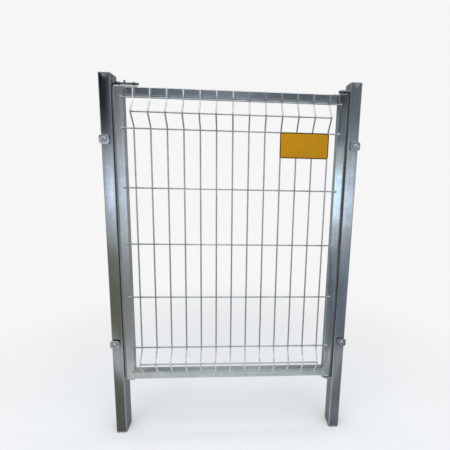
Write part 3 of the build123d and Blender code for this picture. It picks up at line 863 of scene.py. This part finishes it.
def paper_surface():
    """Pale paper that takes the gate's shadow and fades into the white room around it."""
    material = new_material("pale_paper")
    place = add_node(material, "ShaderNodeTexCoord").outputs["Object"]
    away = add_node(material, "ShaderNodeVectorMath", {0: place}, operation="LENGTH").outputs["Value"]
    far = add_node(material, "ShaderNodeMapRange", {
        "Value": away, "From Min": shadow_full, "From Max": shadow_gone},
        interpolation_type="SMOOTHSTEP").outputs["Result"]
    share = add_node(material, "ShaderNodeMath", {
        0: seen_rays(material), 1: far}, operation="MULTIPLY").outputs[0]
    paper = add_node(material, "ShaderNodeBsdfPrincipled", {
        "Base Color": linear(paper_white), "Roughness": 0.85, "Specular IOR Level": 0.2})
    white = add_node(material, "ShaderNodeEmission", {"Color": linear(room_white), "Strength": 1.0})
    both = add_node(material, "ShaderNodeMixShader", {
        "Fac": share, 1: paper.outputs["BSDF"], 2: white.outputs["Emission"]})
    add_node(material, "ShaderNodeOutputMaterial", {"Surface": both.outputs["Shader"]})
    return material


def pale_floor():
    """A round sheet of paper under the gate."""
    start_clean()
    bpy.ops.mesh.primitive_circle_add(vertices=96, radius=floor_radius, fill_type="NGON")
    floor = bpy.context.object
    floor.name = "pale_floor"
    floor.data.materials.append(paper_surface())


def white_room():
    """An even, pale room, which looks white and lights a little less."""
    world = bpy.data.worlds.new("studio")
    bpy.context.scene.world = world
    world.use_nodes = True
    world.node_tree.nodes.clear()
    colour = add_node(world, "ShaderNodeMix", {
        "Factor": seen_rays(world), "A": linear(room_light), "B": linear(room_white)}, data_type="RGBA")
    light = add_node(world, "ShaderNodeBackground", {"Color": colour.outputs["Result"], "Strength": 1.0})
    add_node(world, "ShaderNodeOutputWorld", {"Surface": light.outputs["Background"]})


def card_surface(name, axis, tones):
    """Matt board whose grey changes along one axis. tones lists places on that axis, each with its grey."""
    material = new_material(name)
    place = add_node(material, "ShaderNodeTexCoord").outputs["Object"]
    along = add_node(material, "ShaderNodeSeparateXYZ", {"Vector": place}).outputs[axis]
    colour = linear(tones[0][1])
    for (start, _), (end, tone) in zip(tones, tones[1:]):
        fade = add_node(material, "ShaderNodeMapRange", {
            "Value": along, "From Min": start, "From Max": end},
            interpolation_type="SMOOTHSTEP").outputs["Result"]
        colour = add_node(material, "ShaderNodeMix", {
            "Factor": fade, "A": colour, "B": linear(tone)}, data_type="RGBA").outputs["Result"]
    board = add_node(material, "ShaderNodeBsdfPrincipled", {
        "Base Color": colour, "Roughness": 0.9, "Specular IOR Level": 0.1})
    return close_material(material, board)


def mirrored_card(name, material, turn, place, width, length, cuts=()):
    """A card that only the steel mirrors: it stays out of sight and casts no shadow.

    Each cut is a point of its line and the side that comes off.
    """
    start_clean()
    bpy.ops.mesh.primitive_plane_add(size=1, location=place, rotation=turn)
    card = bpy.context.object
    card.scale = (width, length, 1)
    bpy.ops.object.transform_apply(location=True, rotation=True, scale=True)
    bpy.ops.object.mode_set(mode="EDIT")
    for point, away in cuts:
        bpy.ops.mesh.select_all(action="SELECT")
        bpy.ops.mesh.bisect(plane_co=point, plane_no=away, clear_outer=True)
    bpy.ops.object.mode_set(mode="OBJECT")
    card.name = name
    card.data.materials.append(material)
    for ray in ("camera", "diffuse", "transmission", "volume_scatter", "shadow"):
        setattr(card, "visible_" + ray, False)


def soft_box(name, place, aim, width, height, power, colour):
    """A broad lamp that faces the point it aims at."""
    start_clean()
    bpy.ops.object.light_add(type="AREA", location=place)
    lamp = bpy.context.object
    lamp.name = name
    lamp.rotation_mode = "QUATERNION"
    lamp.rotation_quaternion = (Vector(aim) - Vector(place)).to_track_quat("-Z", "Y")
    lamp.data.shape = "RECTANGLE"
    lamp.data.size = width
    lamp.data.size_y = height
    lamp.data.energy = power
    lamp.data.color = linear(colour)[:3]
    lamp.visible_camera = False


def front_cards():
    """Cards before the gate: the dark heads of the tubes mirror the upper one, the grey feet the others.

    The paper that shows between the floor card and the foot cards is the light zone above each foot.
    """
    dark_board = card_surface("dark_board", "X", (
        (-1.6, "06080A"), (-1.0, "989EA4"), (0.0, "C4CAD4"),
        (0.6, "72787E"), (1.0, "72787E"), (1.45, "9AA2AA")))
    grey_board = card_surface("grey_board", "X", (
        (-0.7, "9A9680"), (0.0, "8A8C8C"), (0.48, "9AA0A6"), (0.76, "868E98"), (1.2, "ACB4BE")))
    pale_board = card_surface("pale_board", "X", ((0.0, "D2D4D4"),))
    mirrored_card("upper_card", dark_board, upright_turn, place=(0.0, -3.2, 2.46), width=8.0, length=2.28)
    back_edge = ((-0.675, -0.66, 0), (-0.09, 1.325, 0))
    mirrored_card("floor_card", grey_board, flat_turn, place=(0.0, -1.7, card_lift), width=8.0, length=2.4,
                  cuts=[back_edge])
    inner_x, inner_slope = 0.36, 0.34
    notch_x, notch_slope = 0.47, 1.1
    for side, name, notch_y, notch_lean in (
            (-1, "left_foot_card", -0.345, 0.2),
            (1, "right_foot_card", -0.305, 1.0)):
        slanting_edge = ((side * inner_x, leaf_front, 0), (-side, -inner_slope, 0))
        notch = ((side * notch_x, notch_y, 0), (-side * notch_lean, -notch_slope, 0))
        post_edge = ((side * post_low.x, leaf_front, 0), (-side, 0, 0))
        mirrored_card(name, grey_board, flat_turn, place=(side * 0.93, -0.233, card_lift),
                      width=1.14, length=0.434, cuts=[slanting_edge, notch, post_edge])
    # Dims the light zone at the right-hand foot
    mirrored_card("right_gap_card", pale_board, flat_turn, place=(0.44, -0.46, gap_card_lift),
                  width=0.22, length=0.32)


def back_cards():
    """Cards behind the gate, which the sides and backs of the tubes and the wires mirror."""
    back_board = card_surface("back_board", "X", ((-1.6, "B0B2B2"), (0.0, "F2F4F4"), (1.6, "B0B2B4")))
    middle_board = card_surface("middle_board", "Z", ((1.1, "F2F4F4"), (1.35, "CDD0D0")))
    shaded_board = card_surface("shaded_board", "Z", (
        (0.0, "B4B8BA"), (0.5, "E4E6E6"), (1.35, "BABDBE"), (1.9, "5A5E62")))
    mirrored_card("back_card", middle_board, upright_turn, place=(0.0, 1.6, 1.3), width=0.9, length=2.6)
    for side, name in ((-1, "left_back_card"), (1, "right_back_card")):
        mirrored_card(name, shaded_board, upright_turn, place=(side * 1.95, 1.6, 1.3),
                      width=3.0, length=2.6)
    mirrored_card("back_floor_card", back_board, flat_turn, place=(0.0, 0.8, card_lift),
                  width=6.0, length=1.6)


pale_floor()
white_room()
front_cards()
back_cards()
# The front lamp is the bright band that the tubes mirror, the top lamp gives the even light and the shadow
soft_box("front_soft_box", place=(0.0, -3.0, 0.667), aim=(0.0, 0.0, 0.667),
         width=3.8, height=0.66, power=12.8, colour="C5DFFD")
soft_box("top_soft_box", place=(0.0, -0.9, 3.1), aim=(0.0, -0.6, 0.0),
         width=4.2, height=3.2, power=80, colour="FFFFFF")

# Camera of the photograph, with its image centre moved by the crop
image_px = 450
focal_px = 319.93
centre_px = (258.43, 217.37)
camera_place = (21.44 * MM, -1150.1 * MM, 1052.2 * MM)
camera_turn_deg = (80.697, -1.381, -3.475)
start_clean()
bpy.ops.object.camera_add(location=camera_place, rotation=[math.radians(a) for a in camera_turn_deg])
camera = bpy.context.object
camera.name = "camera"
camera.data.sensor_width = 36.0
camera.data.lens = camera.data.sensor_width * focal_px / image_px
camera.data.shift_x = (image_px / 2 - centre_px[0]) / image_px
camera.data.shift_y = (centre_px[1] - image_px / 2) / image_px
camera.data.clip_start = 0.01
bpy.context.scene.camera = camera
bpy.context.scene.view_settings.view_transform = "Standard"
